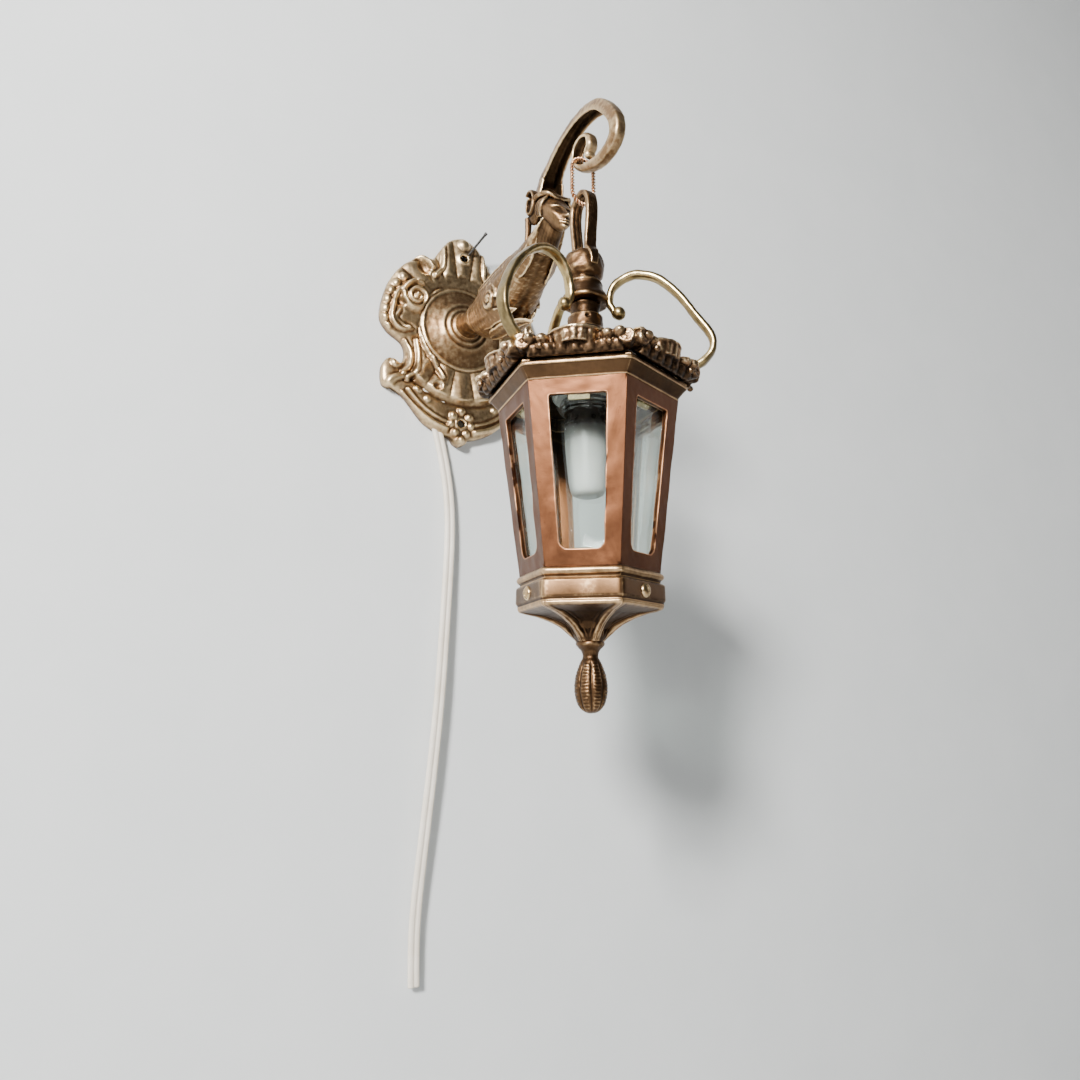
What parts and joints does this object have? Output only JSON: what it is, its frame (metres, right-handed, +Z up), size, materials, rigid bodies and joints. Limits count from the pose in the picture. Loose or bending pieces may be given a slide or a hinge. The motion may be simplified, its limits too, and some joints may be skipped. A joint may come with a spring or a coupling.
{
  "type": "wall lantern",
  "caption": "Small hexagonal glazed bronze lantern hung by a link and bail from a scrolled figure bracket on a rococo wall plate.",
  "frame": {"origin": "on the back plane of the wall plate, at the middle of the plate's outline", "axes": "+X to the right along the wall as seen from the room, +Y into the wall, +Z up; the lantern hangs on the line X=0, Y=-152 mm"},
  "size_m": [0.1065, 0.2048, 0.4396],
  "materials": {
    "bracket_bronze": "aged cast bronze, dark in the hollows and rubbed gold on the edges",
    "aged_brass": "antique brass with a brown patina",
    "cresting_bronze": "aged cast bronze with pebbled relief",
    "rib_brass": "rubbed brass bar",
    "body_copper": "coppery red-brown patina on cast bronze",
    "link_wire": "twisted copper-brown wire",
    "screw_brass": "small turned brass",
    "contact_brass": "bright pressed brass",
    "steel": "zinc plated steel",
    "pane_glass": "clear slightly wavy window glass with greenish edges",
    "smoked_glass": "dark clear glass",
    "frosted_glass": "frosted white glass",
    "porcelain": "white glazed porcelain",
    "terminal": "cream moulded plastic",
    "flex": "ivory PVC twin flex"
  },
  "bodies": {
    "bracket": {"wall_plate": "bracket_bronze", "arm_stud": "steel", "arm_washer": "steel", "arm_nut": "steel", "terminal_block": "terminal", "cord_clamp": "terminal", "supply_cord": "flex", "arm_body": "bracket_bronze", "figure_head": "bracket_bronze", "scroll_hook": "bracket_bronze"},
    "link": {"hanging_link": "link_wire"},
    "bail": {"bail": "aged_brass", "bail_knob": "aged_brass"},
    "bulb": {"bulb_cap": "contact_brass", "bulb_collar": "smoked_glass", "bulb_glass": "frosted_glass"},
    "lantern": {"base_collar": "aged_brass", "base_dish": "aged_brass", "base_moulding": "aged_brass", "centre_contact": "contact_brass", "collar_screw_1": "screw_brass", "collar_screw_2": "screw_brass", "collar_screw_3": "screw_brass", "cornice": "aged_brass", "cresting_1": "cresting_bronze", "cresting_2": "cresting_bronze", "cresting_3": "cresting_bronze", "cresting_4": "cresting_bronze", "cresting_5": "cresting_bronze", "cresting_6": "cresting_bronze", "finial": "aged_brass", "finial_stud": "aged_brass", "glass_pane_1": "pane_glass", "glass_pane_2": "pane_glass", "glass_pane_3": "pane_glass", "glass_pane_4": "pane_glass", "glass_pane_5": "pane_glass", "glass_pane_6": "pane_glass", "lampholder": "porcelain", "lower_clips": "screw_brass", "neck_flange": "aged_brass", "neck_nipple": "aged_brass", "neck_tube": "aged_brass", "rib_1": "rib_brass", "rib_2": "rib_brass", "rib_3": "rib_brass", "roof_cap": "aged_brass", "roof_shell": "aged_brass", "side_frame_1": "body_copper", "side_frame_2": "body_copper", "side_frame_3": "body_copper", "side_frame_4": "body_copper", "side_frame_5": "body_copper", "side_frame_6": "body_copper", "thread_shell": "contact_brass", "upper_clips": "screw_brass"}
  },
  "joints": [
    {"name": "link_swing", "type": "hinge", "parent": "bracket", "child": "link", "pos_m": [0, -0.152, 0.0273], "axis": [1, 0, 0], "range_deg": [-20, 8]},
    {"name": "lantern_rock", "type": "hinge", "parent": "link", "child": "bail", "pos_m": [0, -0.152, 0.0057], "axis": [0, 1, 0], "range_deg": [-9, 9]},
    {"name": "lantern_turn", "type": "hinge", "parent": "bail", "child": "lantern", "pos_m": [0, -0.152, -0.0362], "axis": [0, 0, 1], "range_deg": [-20, 20]},
    {"name": "bulb_turn", "type": "hinge", "parent": "lantern", "child": "bulb", "pos_m": [0, -0.152, -0.09], "axis": [0, 0, 1], "continuous": true}
  ]
}
